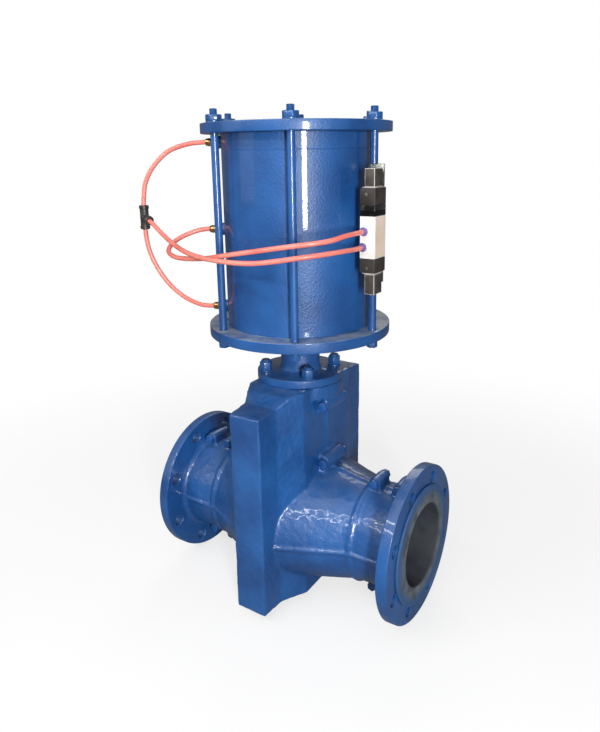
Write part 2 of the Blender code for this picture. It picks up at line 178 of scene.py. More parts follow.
hoseRoutes = {
    "hoseMiddle": [(157, -50.6, 556), (157, -75, 556), (154, -105, 555), (146, -134, 551),
                   (128, -155, 548), (105, -170, 545), (78, -182, 541), (48, -190, 536),
                   (18, -194, 531), (-15, -194, 525), (-50, -186, 518), (-84, -176, 513),
                   (-116, -169, 510), (-145, -163, 510), (-169, -152, 515), (-178, -137, 524),
                   (-174, -118, 535), (-158, -97, 545), (-143, -83, 549), portLine(145.5, 549)],
    "hoseBranch": [(155, -50.6, 531), (155, -76, 531), (153, -106, 532), (146, -136, 532),
                   (130, -158, 530), (108, -175, 527), (82, -189, 523), (50, -199, 519),
                   (15, -204, 518), (-25, -203, 519), (-62, -198, 521), (-100, -186, 525),
                   (-142, -168, 533), (-178, -156, 547), teePlace + teeBranch * 36,
                   teePlace + teeBranch * 12.5],
    "hoseTop": [teePlace + zAxis * 9.5, teePlace + zAxis * 24, portLine(272.5, 606),
                portLine(268, 630), portLine(253, 657), portLine(225, 683), portLine(191, 695),
                portLine(165, 698), portLine(145.5, 698)],
    "hoseBottom": [teePlace - zAxis * 9.5, teePlace - zAxis * 24, portLine(273, 533),
                   portLine(269, 510), portLine(258, 482), portLine(239, 452), portLine(213, 427),
                   portLine(184, 412), portLine(165, 409), portLine(145.5, 409)],
}


def smoothRoute(points, spacing):
    # a Catmull-Rom curve through the points, resampled at even steps
    p = [Vector(q) for q in points]
    p = [p[0] * 2 - p[1]] + p + [p[-1] * 2 - p[-2]]
    fine = []
    for a, b, c, d in zip(p, p[1:], p[2:], p[3:]):
        for k in range(16):
            t = k / 16
            fine.append(0.5 * (2 * b + (c - a) * t + (2 * a - 5 * b + 4 * c - d) * t * t
                               + (3 * b - a - 3 * c + d) * t ** 3))
    fine.append(p[-2])
    total = sum((b - a).length for a, b in zip(fine, fine[1:]))
    count = round(total / spacing)
    out, walked, k = [fine[0]], 0.0, 0
    for step in range(1, count):
        target = total * step / count
        while walked + (fine[k + 1] - fine[k]).length < target:
            walked += (fine[k + 1] - fine[k]).length
            k += 1
        share = (target - walked) / (fine[k + 1] - fine[k]).length
        out.append(fine[k].lerp(fine[k + 1], share))
    return out + [fine[-1]]


def redPolyurethane():
    # extruded polyurethane air hose: salmon red, satin, with light let into its wall
    made, tree, shader, place = newFinish("redPolyurethane", {
        "Roughness": 0.34, "IOR": 1.5, "Subsurface Weight": 0.25, "Subsurface Scale": 0.004,
        "Coat Weight": 0.25, "Coat Roughness": 0.2})
    patch = spread(tree, grain(tree, place, 60), 0.35, 0.65)
    tree.links.new(blendColour(tree, patch, "E8776C", "F08E80"), shader.inputs["Base Color"])
    bumps(tree, shader, [(grain(tree, place, 3), 0.05)])
    return made


def makeHoses():
    finish = redPolyurethane()
    made = {}
    for name, points in hoseRoutes.items():
        curve = bpy.data.curves.new(name, "CURVE")
        curve.dimensions = "3D"
        curve.bevel_depth = hoseLook["radius"] * mm
        curve.bevel_resolution = 6
        curve.use_fill_caps = True
        route = smoothRoute(points, hoseLook["step"])
        line = curve.splines.new("POLY")
        line.points.add(len(route) - 1)
        for point, spot in zip(line.points, route):
            point.co = (*(spot * mm), 1.0)
        line.use_smooth = True
        curve.materials.append(finish)
        made[name] = bpy.data.objects.new(name, curve)
        bpy.context.scene.collection.objects.link(made[name])
        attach(made[name], "housing")
        print(name, round(sum((b - a).length for a, b in zip(route, route[1:]))), "mm")
    return made


hoses = makeHoses()
for pieceName, nodeName in (("hoseMiddle", "hose_middle"), ("hoseBranch", "hose_branch"),
                            ("hoseTop", "hose_top"), ("hoseBottom", "hose_bottom")):
    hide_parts(nodeName)
print("hoses laid")


# shared tools for meshes, all in millimetres until makePiece

def prism(outline, axis, low, high):
    # an outline in the plane across the axis, extruded along it
    bm = bmesh.new()
    place = {"X": lambda u, v: (low, u, v), "Y": lambda u, v: (u, low, v), "Z": lambda u, v: (u, v, low)}
    way = {"X": xAxis, "Y": yAxis, "Z": zAxis}[axis] * (high - low)
    face = bm.faces.new([bm.verts.new(place[axis](u, v)) for u, v in outline])
    grown = bmesh.ops.extrude_face_region(bm, geom=[face])["geom"]
    bmesh.ops.translate(bm, vec=way, verts=[g for g in grown if isinstance(g, bmesh.types.BMVert)])
    bmesh.ops.recalc_face_normals(bm, faces=bm.faces[:])
    return bm


def eased(profile, width, segments=2, angle=30):
    # rounds a profile's corners before it is spun, apart from its ends on the axis
    spots = [Vector(spot) for spot in profile]
    onAxis = spots[0].x == 0 and spots[-1].x == 0
    out = []
    for k, spot in enumerate(spots):
        before, after = spots[k - 1] - spot, spots[(k + 1) % len(spots)] - spot
        if (onAxis and k in (0, len(spots) - 1)) or math.pi - before.angle(after) < math.radians(angle):
            out.append(tuple(spot))
            continue
        cut = min(width, before.length * 0.45, after.length * 0.45)
        start, end = spot + before.normalized() * cut, spot + after.normalized() * cut
        for j in range(segments + 1):
            t = j / segments
            out.append(tuple(start * (1 - t) ** 2 + spot * (2 * t * (1 - t)) + end * t * t))
    return out


def spun(profile, steps=96, axis=zAxis, at=(0, 0, 0)):
    # profile: (radius, distance along the axis), a closed loop unless it starts and ends on the axis
    bm = bmesh.new()
    verts = [bm.verts.new((r, 0, h)) for r, h in profile]
    edges = [bm.edges.new(pair) for pair in zip(verts, verts[1:])]
    if profile[0][0] > 0 or profile[-1][0] > 0:
        edges.append(bm.edges.new((verts[-1], verts[0])))
    bmesh.ops.spin(bm, geom=verts + edges, cent=(0, 0, 0), axis=(0, 0, 1), angle=2 * math.pi,
                   steps=steps, use_merge=True)
    bmesh.ops.remove_doubles(bm, verts=bm.verts[:], dist=0.001)
    bmesh.ops.recalc_face_normals(bm, faces=bm.faces[:])
    turn = zAxis.rotation_difference(Vector(axis)).to_matrix().to_4x4()
    bm.transform(Matrix.Translation(Vector(at)) @ turn)
    return bm


def roundEdges(bm, width, segments=2, angle=30):
    sharp = [e for e in bm.edges if len(e.link_faces) == 2 and e.calc_face_angle() > math.radians(angle)]
    bmesh.ops.bevel(bm, geom=sharp, offset=width, offset_type="OFFSET", affect="EDGES",
                    segments=segments, profile=0.5, material=-1, clamp_overlap=True,
                    loop_slide=True)
    return bm


def roundedBox(low, high, width=1.0, segments=2):
    bm = bmesh.new()
    size = Vector(high) - Vector(low)
    middle = (Vector(high) + Vector(low)) / 2
    bmesh.ops.create_cube(bm, size=1, matrix=Matrix.Translation(middle) @ Matrix.Diagonal((*size, 1)))
    return roundEdges(bm, width, segments)


def hexagon(corner, low, high, chamfer=1.2, turn=0.0):
    bm = bmesh.new()
    at = Matrix.Translation((0, 0, low)) @ Matrix.Rotation(turn, 4, "Z")
    base = bmesh.ops.create_circle(bm, cap_ends=True, segments=6, radius=corner, matrix=at)["verts"]
    grown = bmesh.ops.extrude_face_region(bm, geom=[base[0].link_faces[0]])["geom"]
    bmesh.ops.translate(bm, vec=(0, 0, high - low),
                        verts=[g for g in grown if isinstance(g, bmesh.types.BMVert)])
    bmesh.ops.recalc_face_normals(bm, faces=bm.faces[:])
    return roundEdges(bm, chamfer, 2)


def looseObject(bm, name="loose"):
    mesh = bpy.data.meshes.new(name)
    bm.to_mesh(mesh)
    bm.free()
    made = bpy.data.objects.new(name, mesh)
    bpy.context.scene.collection.objects.link(made)
    return made


def bake(thing):
    # turns the object's modifiers into its mesh
    graph = bpy.context.evaluated_depsgraph_get()
    mesh = bpy.data.meshes.new_from_object(thing.evaluated_get(graph))
    thing.modifiers.clear()
    thing.data = mesh


def combine(thing, tools, operation):
    # adds or takes away each tool, which may be a bmesh or an object
    for tool in tools:
        other = looseObject(tool) if isinstance(tool, bmesh.types.BMesh) else tool
        step = thing.modifiers.new("step", "BOOLEAN")
        step.operation = operation
        step.solver = "MANIFOLD"
        step.object = other
        bake(thing)
        bpy.data.objects.remove(other, do_unlink=True)
    return thing


def joined(parts):
    # several closed shells in one bmesh
    whole = parts[0]
    for part in parts[1:]:
        mesh = bpy.data.meshes.new("part")
        part.to_mesh(mesh)
        part.free()
        whole.from_mesh(mesh)
        bpy.data.meshes.remove(mesh)
    return whole


def fused(parts):
    return combine(looseObject(parts[0]), parts[1:], "UNION")


def makePiece(source, name, body, finish, replaced=(), angle=38):
    # source: a bmesh or a loose object in millimetres
    thing = looseObject(source) if isinstance(source, bmesh.types.BMesh) else source
    thing.name = name
    thing.data.name = name
    thing.data.transform(Matrix.Scale(mm, 4))
    thing.data.materials.clear()
    thing.data.materials.append(finish)
    thing.data.shade_smooth()
    thing.data.set_sharp_from_angle(angle=math.radians(angle))
    if body:
        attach(thing, body)
    for node in replaced:
        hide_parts(node)
    return thing


# finishes

enamelLook = {"deep": "0F407A", "light": "205A9C", "dust": "8F98A4"}


def blueEnamel(name, relief, coarse=0.0, dust=0.25, gloss=0.08, rough=0.42):
    # thick alkyd enamel brushed over castings and rolled steel: a wet gloss broken up by the rough
    # metal below it, with workshop dust on what faces up
    made, tree, shader, place = newFinish(name, {
        "IOR": 1.5, "Roughness": rough, "Coat Weight": 0.6, "Coat Roughness": gloss})
    patch = spread(tree, grain(tree, place, 90, 3), 0.32, 0.68)
    colour = blendColour(tree, patch, enamelLook["deep"], enamelLook["light"])
    speck = spread(tree, grain(tree, place, 2.4, 1), 0.45, 0.7, 0.0, 0.3)
    colour = blendColour(tree, speck, colour, enamelLook["light"])
    upward = spread(tree, facingUp(tree), 0.3, 0.95)
    smear = spread(tree, grain(tree, place, 28, 6), 0.36, 0.64, 0.15, 1.0)
    dusty = addNode(tree, "Math", {"operation": "MULTIPLY", 1: dust}, {0: times(tree, upward, smear)})
    colour = blendColour(tree, dusty.outputs[0], colour, enamelLook["dust"])
    tree.links.new(colour, shader.inputs["Base Color"])
    layers = [(grain(tree, place, 3.4, 2), relief)]
    if coarse:
        layers.append((grain(tree, place, 14, 2), coarse))
    bumps(tree, shader, layers)
    return made


def sleeveRubber():
    # moulded natural rubber, blue-grey and chalky with dried slurry
    made, tree, shader, place = newFinish("sleeveRubber", {"IOR": 1.52, "Roughness": 0.7})
    chalk = spread(tree, grain(tree, place, 22, 6), 0.35, 0.68)
    colour = blendColour(tree, chalk, "3B444E", "66707C")
    speck = spread(tree, grain(tree, place, 1.8, 1), 0.5, 0.75, 0.0, 0.4)
    colour = blendColour(tree, speck, colour, "8A8F93")
    # the enamel brush ran over the rim of the lip, and the bore is darkened: partly the bare rubber, partly
    # painted shade inside the tube
    axes = addNode(tree, "SeparateXYZ", {}, {0: place})
    across = addNode(tree, "CombineXYZ", {}, {1: axes.outputs[1], 2: axes.outputs[2]}).outputs[0]
    out = addNode(tree, "VectorMath", {"operation": "LENGTH"}, {0: across}).outputs["Value"]
    fringe = spread(tree, chalk, 0, 1, -0.006, 0.006)
    ragged = addNode(tree, "Math", {"operation": "ADD"}, {0: out, 1: fringe})
    # painted shade: inside 73.5 mm the bore is darkened, partly bare rubber colour and partly the shade
    # inside the tube
    colour = blendColour(tree, spread(tree, out, 0.0735, 0.078), "30353B", colour)
    colour = blendColour(tree, spread(tree, ragged.outputs[0], 0.088, 0.1, 0.0, 0.85), colour, "2A5588")
    tree.links.new(colour, shader.inputs["Base Color"])
    tree.links.new(spread(tree, chalk, 0, 1, 0.55, 0.85), shader.inputs["Roughness"])
    bumps(tree, shader, [(grain(tree, place, 2.5, 3), 0.12), (grain(tree, place, 30, 2), 0.5)])
    return made


def plainFinish(name, colours, rough, metal=0.0, relief=0.05, sizeMm=2.0, stretch=None, coat=0.0, ior=1.5):
    # two shades in fine grain, with matching relief: moulded plastic, machined or plated metal
    settings = {"Metallic": metal, "Coat Weight": coat}
    if not metal:
        settings["IOR"] = ior
    made, tree, shader, place = newFinish(name, settings)
    fine = grain(tree, place, sizeMm, 3, stretch)
    wide = grain(tree, place, sizeMm * 12, 3)
    colour = blendColour(tree, spread(tree, wide, 0.35, 0.65), *colours)
    tree.links.new(colour, shader.inputs["Base Color"])
    tree.links.new(spread(tree, fine, 0.3, 0.7, rough * 0.8, rough * 1.2), shader.inputs["Roughness"])
    bumps(tree, shader, [(fine, relief)])
    return made


castEnamel = blueEnamel("castEnamel", 0.6, 1.3, 0.12)
flatEnamel = blueEnamel("plateEnamel", 0.45, 0.5, 1.0)
tubeEnamel = blueEnamel("rolledSteelEnamel", 0.65, 0.0, 0.12, 0.05)
rodEnamel = blueEnamel("rodEnamel", 0.12, 0.0, 0.2, 0.1)
naturalRubber = sleeveRubber()
# nitrile rubber: moulded, black, satin
nitrile = plainFinish("nitrileRubber", ("141415", "222223"), 0.5, relief=0.03)
# grey cast iron: sand cast, dark and matt with a coarse grain
greyIron = plainFinish("greyCastIron", ("4A4D50", "66696B"), 0.6, 0.9, 0.25, 2.5)
# ground stainless steel: bright, with fine rings round the rod
groundSteel = plainFinish("groundStainless", ("B5B8BC", "C6C8CA"), 0.22, 1.0, 0.02, 3.0, (1, 1, 12))
# turned aluminium: pale, with tool rings
turnedAlloy = plainFinish("turnedAluminium", ("A4A8AC", "B8BBBE"), 0.34, 1.0, 0.04, 3.0, (1, 1, 10))
# tin bronze: turned, brown-gold
bronze = plainFinish("tinBronze", ("96703C", "B08A4E"), 0.38, 1.0, 0.03, 3.0)
# white-lacquered aluminium block
whiteLacquer = plainFinish("whiteLacquer", ("E4DED8", "F0ECE6"), 0.38, relief=0.03, coat=0.2)
# glass-filled nylon: moulded, brown-black
blackNylon = plainFinish("blackNylon", ("2C2725", "3D3835"), 0.42, relief=0.06, sizeMm=1.5)
# gloss black ABS: moulded, mirror-smooth
glossBlack = plainFinish("glossBlackAbs", ("080808", "101010"), 0.12, relief=0.01, coat=0.5)
# epoxy-moulded coil: brown-black, fine texture
coilResin = plainFinish("coilResin", ("38322F", "4A4441"), 0.5, relief=0.08, sizeMm=1.2)
# zinc-plated steel: dull silver with a faint yellow bloom
zincSteel = plainFinish("zincPlate", ("8F918C", "A8A99F"), 0.36, 1.0, 0.03, 2.0)
# purple acetal: moulded release collars
purpleAcetal = plainFinish("purpleAcetal", ("5A4E97", "6D60AA"), 0.32, relief=0.02, coat=0.2)
# nickel-free brass: turned fittings
turnedBrass = plainFinish("turnedBrass", ("A88650", "BE9B62"), 0.3, 1.0, 0.02, 2.0)
# paper label, blank, yellowed
paperLabel = plainFinish("paperLabel", ("DDC4AE", "E9D8C6"), 0.6, relief=0.03, sizeMm=4)
# worn edge of moulded black parts
paleResin = plainFinish("paleResin", ("A9A29C", "C4BDB6"), 0.5, relief=0.03)
print("finishes mixed")


# body castings

body = {"face": 250.0, "flangeThick": 20.0, "flangeRadius": 142.5, "stub": 92.0, "seam": 96.0,
        "seamFrom": 150.5, "seamTo": 157.5, "neck": (150.0, 93.0, 92.4), "coneEnd": (34.0, 145.0, 113.0),
        "plan": ((31.0, 177.0), (33.0, 130.0), (45.5, 105.0), (58.0, 80.0)),
        "tops": (252.0, 257.0, 271.0, 275.0), "base": -125.0, "wall": 11.0, "bore": 82.3,
        "boltCircle": 120.0, "flangeHole": 11.0, "flangeHoles": 8, "pipeLugs": (167.0, 213.0),
        "pipeLugHeight": 103.0, "pipeLugRadius": 11.5, "chestLugs": (124.0, 237.0), "chestLug": 70.0,
        "chestLugRadius": 15.0, "lugHole": 5.6, "keel": 3.6, "lip": 3.6, "grain": 2.3, "ease": 4,
        "padRadius": 80.0, "stemHole": 24.0, "bonnetBolts": 46.0, "ridgeEnd": 236.0, "pipeLugHalf": 20.0,
        "pipeLugRoot": 84.0, "chestLugHalf": 32.0, "chestLugTip": 79.0, "chestLugRoot": 50.0,
        "pipeBolt": 104.0, "boltHole": 5.0, "split": 0.15,
        "fineRough": (9.0, 0.5), "wideRough": (45.0, 1.2)}


def bothSides(outline):
    # an outline of the +u, +v corner, carried round the other three
    quarter = list(outline)
    right = [(u, -v) for u, v in quarter] + [(u, v) for u, v in reversed(quarter)]
    return right + [(-u, v) for u, v in quarter] + [(-u, -v) for u, v in reversed(quarter)]


def box(low, high):
    (x0, y0, z0), (x1, y1, z1) = low, high
    return prism([(x0, y0), (x1, y0), (x1, y1), (x0, y1)], "Z", z0, z1)


def chestBlock(inset, base, drop):
    # plan and side outlines crossed: inset thins the walls, drop lowers the top
    ends = [(x - inset, y - (inset if y > 150 else 0)) for x, y in body["plan"]]
    tops = [(y, z - drop) for (x, y), z in zip(ends, body["tops"])]
    side = [(-ends[0][1], base), (ends[0][1], base)] + tops + [(-y, z) for y, z in reversed(tops)]
    block = looseObject(prism(bothSides(ends), "Z", base, body["tops"][-1] + 10))
    combine(block, [prism(side, "X", -90, 90)], "INTERSECT")
    whole = bmesh.new()
    whole.from_mesh(block.data)
    bpy.data.objects.remove(block, do_unlink=True)
    return whole


def frustum(start, end):
    # start and end: (x, radius in Y, radius in Z) of the two ovals that it runs between
    bm = bmesh.new()
    for x, ry, rz in (start, end):
        turn = Matrix.Rotation(math.pi / 2, 4, "Y")
        at = Matrix.Translation((x, 0, 0)) @ Matrix.Diagonal((1, ry, rz, 1)) @ turn
        bmesh.ops.create_circle(bm, segments=120, radius=1, matrix=at)
    hull = bmesh.ops.convex_hull(bm, input=bm.verts[:])
    bmesh.ops.delete(bm, geom=hull["geom_interior"] + hull["geom_unused"], context="VERTS")
    bmesh.ops.recalc_face_normals(bm, faces=bm.faces[:])
    return bm


def rod(start, end, radius, steps=32, ease=0.0):
    # a plain round bar, for bosses and for cutting holes
    way = Vector(end) - Vector(start)
    profile = [(0, 0), (radius, 0), (radius, way.length), (0, way.length)]
    if ease:
        profile = eased(profile, ease)
    return spun(profile, steps, way.normalized(), start)


def bodySkin():
    # overlapping blocks that the remesh below melts into one casting
    parts = [chestBlock(0, body["base"], 0)]
    x1, ry1, rz1 = body["coneEnd"]
    edge = body["stub"] + body["keel"]
    keel = [(20, ry1 + body["keel"] + 6.5), (150, edge + 1.5), (body["ridgeEnd"], edge)]
    parts.append(prism(bothSides(keel), "Z", -4.5, 1.2))
    lip = [(40, rz1 + 1.2), (150, body["stub"] + 2.4), (body["ridgeEnd"], body["stub"] + 2.2)]
    parts.append(prism(bothSides(lip), "Y", -body["lip"], body["lip"]))
    wall = body["plan"][-1][0] + 2.2
    parts.append(box((-wall, -body["lip"], body["base"] + 12), (wall, body["lip"], 262)))
    for side in (-1, 1):
        neck = (side * body["neck"][0], *body["neck"][1:])
        parts.append(frustum((side * x1, ry1, rz1), neck))
        parts.append(rod((side * 130, 0, 0), (side * 240, 0, 0), body["stub"], 120))
        parts.append(rod((side * body["seamFrom"], 0, 0), (side * body["seamTo"], 0, 0), body["seam"], 120))
        for x in body["pipeLugs"]:
            for up in (-1, 1):
                spot, high = side * x, up * body["pipeLugHeight"]
                r, half = body["pipeLugRadius"], body["pipeLugHalf"]
                parts.append(rod((spot, -half, high), (spot, half, high), r))
                zs = sorted((up * body["pipeLugRoot"], high))
                parts.append(box((spot - r, -half, zs[0]), (spot + r, half, zs[1])))
        for z in body["chestLugs"]:
            r, half = body["chestLugRadius"], body["chestLugHalf"]
            reach = body["chestLugTip"] - r
            parts.append(rod((side * reach, -half, z), (side * reach, half, z), r))
            xs = sorted((side * body["chestLugRoot"], side * reach))
            parts.append(box((xs[0], -half, z - r), (xs[1], half, z + r)))
    parts.append(rod((0, 0, 250), (0, 0, body["tops"][-1]), body["padRadius"], 120))
    skin = looseObject(joined(parts))
    melt = skin.modifiers.new("melt", "REMESH")
    melt.mode = "VOXEL"
    melt.voxel_size = body["grain"] * 1
    ease = skin.modifiers.new("ease", "SMOOTH")
    ease.factor = 0.5
    ease.iterations = body["ease"]
    bake(skin)
    return skin


def roughen(thing, sizeMm, depth):
    # sand-cast unevenness, pushed along each vertex's normal
    verts = thing.data.vertices
    spots = [v.co + v.normal * (noise.noise(v.co / sizeMm) * depth) for v in verts]
    for vertex, spot in zip(verts, spots):
        vertex.co = spot


def flangeRing(side):
    # machined rim with a weld fillet behind it, drilled later
    face, back, stub = body["face"], body["face"] - body["flangeThick"], body["stub"]
    weld = [(70, back - 8), (stub - 0.5, back - 8), (stub + 2.2, back - 4), (stub + 7, back - 0.4)]
    wide = body["flangeRadius"]
    rim = eased([(stub + 9, back), (wide, back), (wide, face), (70, face)], 1.8, 3, 60)
    return spun(weld + rim, 144, xAxis * side)


def bodyHollow():
    # the room that the sleeve and the pinch bars work in
    x1, ry1, rz1 = body["coneEnd"]
    wall = body["wall"]
    hollow = looseObject(chestBlock(wall, body["base"] + wall, wall))
    bore = body["bore"]
    tools = [rod((-260, 0, 0), (260, 0, 0), bore, 112)]
    tools += [frustum((side * x1, ry1 - wall, rz1 - wall), (side * 150, bore, bore)) for side in (-1, 1)]
    return combine(hollow, tools, "UNION")


def bodyHoles():
    # every drilled hole; those in the flanges have broken edges
    tools = []
    back, r, wide = body["face"] - body["flangeThick"], body["flangeHole"], body["flangeHole"] + 1.6
    flare = [(0, -4), (wide, -4), (wide, -0.4), (r, 1.2), (r, 18.8), (wide, 20.4), (wide, 24), (0, 24)]
    for side in (-1, 1):
        for k in range(body["flangeHoles"]):
            a = math.radians(22.5 + 360 / body["flangeHoles"] * k)
            y, z = body["boltCircle"] * math.cos(a), body["boltCircle"] * math.sin(a)
            tools.append(spun(flare, 32, xAxis * side, (side * back, y, z)))
        for z in body["chestLugs"]:
            x = side * body["chestLug"]
            tools.append(rod((x, -45, z), (x, 45, z), body["lugHole"]))
        for x in body["pipeLugs"]:
            for z in (-body["pipeBolt"], body["pipeBolt"]):
                tools.append(rod((side * x, -30, z), (side * x, 30, z), body["lugHole"]))
    for x in (-body["bonnetBolts"], body["bonnetBolts"]):
        for y in (-body["bonnetBolts"], body["bonnetBolts"]):
            tools.append(rod((x, y, 255), (x, y, 290), body["boltHole"]))
    tools.append(rod((0, 0, 235), (0, 0, 290), body["stemHole"], 48))
    return joined(tools)


def makeBody():
    skin = bodySkin()
    roughen(skin, *body["fineRough"])
    roughen(skin, *body["wideRough"])
    combine(skin, [flangeRing(-1), flangeRing(1)], "UNION")
    combine(skin, [bodyHollow(), bodyHoles()], "DIFFERENCE")
    gap = body["split"]
    halves = (("bodyNear", "body_half_near", -200, -gap), ("bodyFar", "body_half_far", gap, 200))
    for name, node, low, high in halves:
        half = skin.copy()
        half.data = skin.data.copy()
        bpy.context.scene.collection.objects.link(half)
        combine(half, [box((-300, low, -300), (300, high, 400))], "INTERSECT")
        makePiece(half, name, "housing", castEnamel, [node])
        print(name, len(half.data.polygons), "faces")
    bpy.data.objects.remove(skin, do_unlink=True)


makeBody()
print("body cast")


# rubber sleeve, in four quarters

sleeve = {"inside": 74.0, "outside": 82.0, "lip": 108.5, "face": 250.3, "end": 255.0, "stations": 44,
          "squeeze": 115.0}


def makeSleeve():
    end, face, inside, outside = sleeve["end"], sleeve["face"], sleeve["inside"], sleeve["outside"]
    count = sleeve["stations"]
    xs = [face * (2 * k / count - 1) for k in range(count + 1)]
    profile = [(outside, x) for x in xs] + [(sleeve["lip"], face), (sleeve["lip"], end), (inside, end)]
    profile += [(inside, x) for x in reversed(xs)]
    profile += [(inside, -end), (sleeve["lip"], -end), (sleeve["lip"], -face)]
    whole = looseObject(spun(eased(profile, 1.6, 3, 60), 128, xAxis))
    for across, sign in (("A", 1), ("B", -1)):
        for level, up, mover in (("Upper", 1, "upper_gear"), ("Lower", -1, "lower_gear")):
            quarter = whole.copy()
            quarter.data = whole.data.copy()
            bpy.context.scene.collection.objects.link(quarter)
            xs, zs = sorted((0, sign * 300)), sorted((0, up * 150))
            combine(quarter, [box((xs[0], -150, zs[0]), (xs[1], 150, zs[1]))], "INTERSECT")
            name = "sleeve" + level + across
            makePiece(quarter, name, None, naturalRubber, ["rubber_sleeve"])
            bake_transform(quarter)
    bpy.data.objects.remove(whole, do_unlink=True)


makeSleeve()
print("sleeve fitted")


# bonnet and stem seals

bonnet = {"foot": 80.0, "footTop": 290.0, "neck": 36.0, "head": 55.0, "headLow": 352.0, "headTop": 364.7,
          "base": 275.3, "bore": 17.0, "pocket": 24.0, "pocketLow": 295.0, "bolt": 46.0,
          "boltEnd": 266.3, "boltTip": 311.3}


def makeBonnet():
    b = bonnet
    neck, under, over = b["neck"], b["footTop"], b["headLow"]
    profile = [(b["bore"], b["base"]), (b["foot"], b["base"]), (b["foot"], under),
               (neck + 9, under), (neck + 3, under + 2.5), (neck, under + 9),
               (neck, over - 9), (neck + 3, over - 2.5), (neck + 9, over),
               (b["head"], b["headLow"]), (b["head"], b["headTop"]), (b["pocket"], b["headTop"]),
               (b["pocket"], b["pocketLow"]), (b["bore"], b["pocketLow"])]
    casting = looseObject(spun(eased(profile, 1.6, 3, 40), 112))
    places = [(x, y) for x in (-b["bolt"], b["bolt"]) for y in (-b["bolt"], b["bolt"])]
    combine(casting, [joined([rod((x, y, 270), (x, y, 295), 5.0) for x, y in places])], "DIFFERENCE")
    makePiece(casting, "bonnet", "housing", castEnamel, ["bonnet"])
    for k, (x, y) in enumerate([(1, 1), (-1, 1), (-1, -1), (1, -1)]):
        low = b["footTop"] + 0.3
        end, tip = b["boltEnd"], b["boltTip"]
        stud = spun([(0, end), (3.6, end), (4.6, end + 1.2), (4.6, low + 1), (8, low + 1), (8, tip - 0.9),
                     (7, tip), (0, tip)], 32)
        washer = spun([(4.4, low), (12.6, low), (12.6, low + 2), (4.4, low + 2)], 40)
        bolt = fused([stud, washer, hexagon(12.0, low + 1.8, 307.5, 1.4, 0.4 + k)])
        bolt.data.transform(Matrix.Translation((x * b["bolt"], y * b["bolt"], 0)))
        makePiece(bolt, "bonnetBolt%d" % (k + 1), "housing", rodEnamel,
                  ["bonnet_bolt_%d" % (k + 1)])
    # packing rings pressed together, seen as ridges
    outer = [(23.7, 295.3)] + [(23.7 - (0.7 if j % 2 else 0), 295.3 + 43.7 * j / 12) for j in range(1, 12)]
    rings = [(16.3, 295.3)] + outer + [(23.7, 339.0), (16.3, 339.0)]
    makePiece(spun(rings, 64), "stemPacking", "housing", nitrile, ["stem_packing"])
    bush = spun(eased([(16.5, 339.3), (23.7, 339.3), (23.7, 364.5), (16.5, 364.5)], 0.6), 64)
    makePiece(bush, "glandBush", "housing", bronze, ["gland_bush"])


makeBonnet()
print("bonnet bolted")


# air cylinder

cylinder = {"plate": 163.2, "bottom": (365.0, 383.0), "top": (711.0, 727.5), "barrel": (125.0, 129.6),
            "boss": 40.0, "bossTop": 420.0, "bossLow": 688.0, "stem": 17.0, "rodCircle": 148.4, "rod": 6.5,
            "rodEnds": (351.7, 748.7), "nut": 13.5, "bandLow": 684.0, "rods": 6}


def rodPlaces():
    for k in range(cylinder["rods"]):
        a = math.radians(30 + 60 * k)
        yield k + 1, cylinder["rodCircle"] * math.sin(a), -cylinder["rodCircle"] * math.cos(a)


def rodHoles(low, high):
    r = cylinder["rod"] + 0.5
    profile = [(0, low - 5), (r + 1, low - 5), (r + 1, low - 0.3), (r, low + 0.7), (r, high - 0.7),
               (r + 1, high + 0.3), (r + 1, high + 5), (0, high + 5)]
    return joined([spun(profile, 32, zAxis, (x, y, 0)) for _, x, y in rodPlaces()])


def makePlates():
    c = cylinder
    low, high = c["bottom"]
    groove = c["barrel"][1] + 0.6
    profile = [(c["stem"], low), (c["plate"], low), (c["plate"], high), (groove + 4, high),
               (groove + 3.2, high - 1.2), (groove, high - 1.2),
               (groove - 0.8, high), (c["boss"], high), (c["boss"], c["bossTop"]),
               (c["stem"], c["bossTop"])]
    plate = looseObject(spun(eased(profile, 1.3, 3, 60), 160))
    combine(plate, [rodHoles(low, high)], "DIFFERENCE")
    makePiece(plate, "bottomPlate", "housing", flatEnamel, ["cylinder_bottom_plate"])
    low, high = c["top"]
    profile = [(0, c["bossLow"]), (c["boss"], c["bossLow"]), (c["boss"], low), (c["plate"], low),
               (c["plate"], high), (118, high), (117, high - 0.8), (0, high - 0.8)]
    plate = looseObject(spun(eased(profile, 1.3, 3, 60), 160))
    combine(plate, [rodHoles(low, high)], "DIFFERENCE")
    makePiece(plate, "topPlate", "housing", flatEnamel, ["cylinder_top_plate"])


def makeBarrel():
    c = cylinder
    inner, outer = c["barrel"]
    low, high = c["bottom"][1] + 0.3, c["top"][0] - 0.3
    band = c["bandLow"]
    profile = [(inner, low), (outer, low), (outer, band - 0.8), (outer - 0.5, band - 0.2),
               (outer - 0.5, band + 0.2), (outer, band + 0.8), (outer, high), (inner, high)]
    tube = looseObject(spun(profile, 192))
    for z in hoseLook["portHeights"]:
        boss = rod(portLine(126.5, z), portLine(136.0, z), 11.0, 40, 1.0)
        combine(tube, [boss], "UNION")
        combine(tube, [rod(portLine(110, z), portLine(145, z), 5.0)], "DIFFERENCE")
    makePiece(tube, "barrel", "housing", tubeEnamel, ["cylinder_barrel"])


def threadProfile(radius, low, high, pitch=1.6, depth=0.7):
    # crests and roots up a thread, as rings
    count = int((high - low) / pitch)
    steps = 2 * count
    return [(radius - (depth if j % 2 else 0), low + (high - low) * j / steps) for j in range(steps + 1)]


